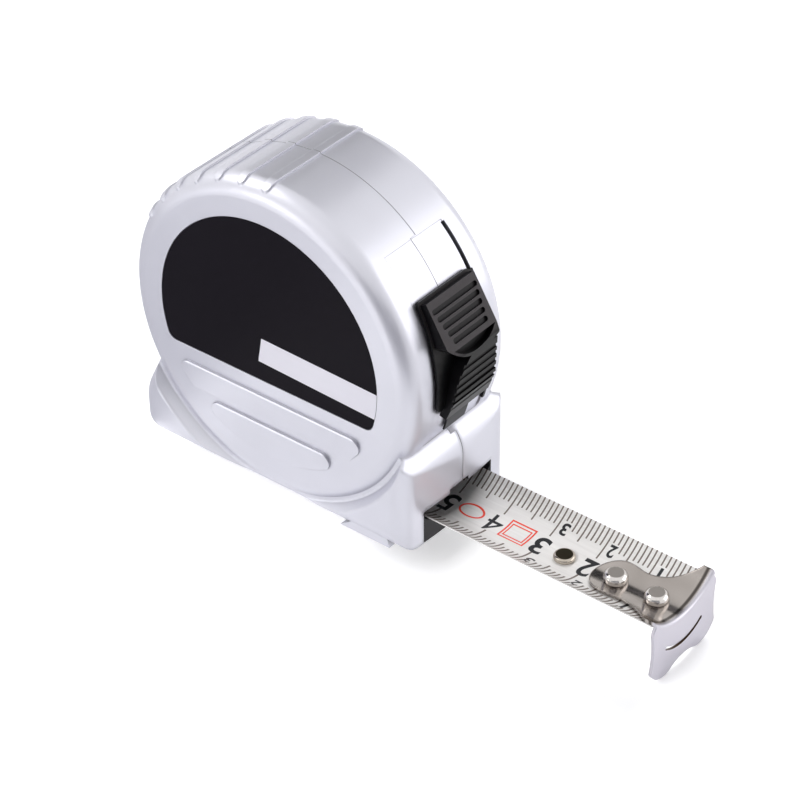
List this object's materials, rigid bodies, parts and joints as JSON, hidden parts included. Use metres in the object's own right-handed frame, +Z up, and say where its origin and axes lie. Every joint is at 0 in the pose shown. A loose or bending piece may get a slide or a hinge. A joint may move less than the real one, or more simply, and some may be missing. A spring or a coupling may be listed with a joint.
{
  "type": "tape measure",
  "caption": "Pocket tape measure with a satin silver case, sliding lock button, curved steel blade with end hook, and belt clip.",
  "frame": {"origin": "on the flat base, midway between the sides, below the middle of the round body", "axes": "+X out of the mouth along the blade, +Y across the case to the belt clip side, +Z up"},
  "size_m": [0.1125, 0.0333, 0.0716],
  "materials": {
    "case_plastic": "satin silver paint on ABS",
    "label_film": "smooth printed film",
    "black_plastic": "fine moulded grain",
    "blade_steel": "stainless strip with printed scale",
    "hook_steel": "pressed and tumbled",
    "rivet_steel": "bright drawn",
    "reel_plastic": "moulded",
    "spring_steel": "blued strip",
    "screw_steel": "zinc plated",
    "clip_steel": "nickel plated spring steel"
  },
  "bodies": {
    "case": {"case_left": "case_plastic", "case_right": "case_plastic", "face_label": "label_film", "mouth_guide": "black_plastic", "centre_post": "black_plastic", "post_screw": "screw_steel", "case_screws": "screw_steel", "belt_clip": "clip_steel", "clip_screw": "screw_steel", "brake_spring": "spring_steel", "blade_lead": "blade_steel"},
    "blade": {"blade": "blade_steel", "hook_rivets": "rivet_steel", "stop_rivet": "rivet_steel"},
    "hook": {"end_hook": "hook_steel"},
    "reel": {"spring_drum": "reel_plastic", "drum_cover": "reel_plastic", "blade_coil": "blade_steel", "power_spring": "spring_steel"},
    "lock": {"lock_button": "black_plastic", "brake_arm": "black_plastic"}
  },
  "joints": [
    {"name": "blade_slide", "type": "slide", "parent": "case", "child": "blade", "axis": [1, 0, 0], "range_m": [-0.0468, 0.008], "deforming": ["blade_lead"]},
    {"name": "hook_float", "type": "slide", "parent": "blade", "child": "hook", "axis": [1, 0, 0], "range_m": [-0.0006, 0]},
    {"name": "reel_spin", "type": "hinge", "parent": "case", "child": "reel", "pos_m": [0, 0, 0.03165], "axis": [0, 1, 0], "range_deg": [-22, 126], "deforming": ["power_spring"]},
    {"name": "lock_travel", "type": "hinge", "parent": "case", "child": "lock", "pos_m": [0, 0, 0.03165], "axis": [0, -1, 0], "range_deg": [0, 14], "deforming": ["brake_spring"]}
  ],
  "couplings": [
    {"joint": "reel_spin", "follows": "blade_slide", "rad_per_m": -46.5}
  ]
}
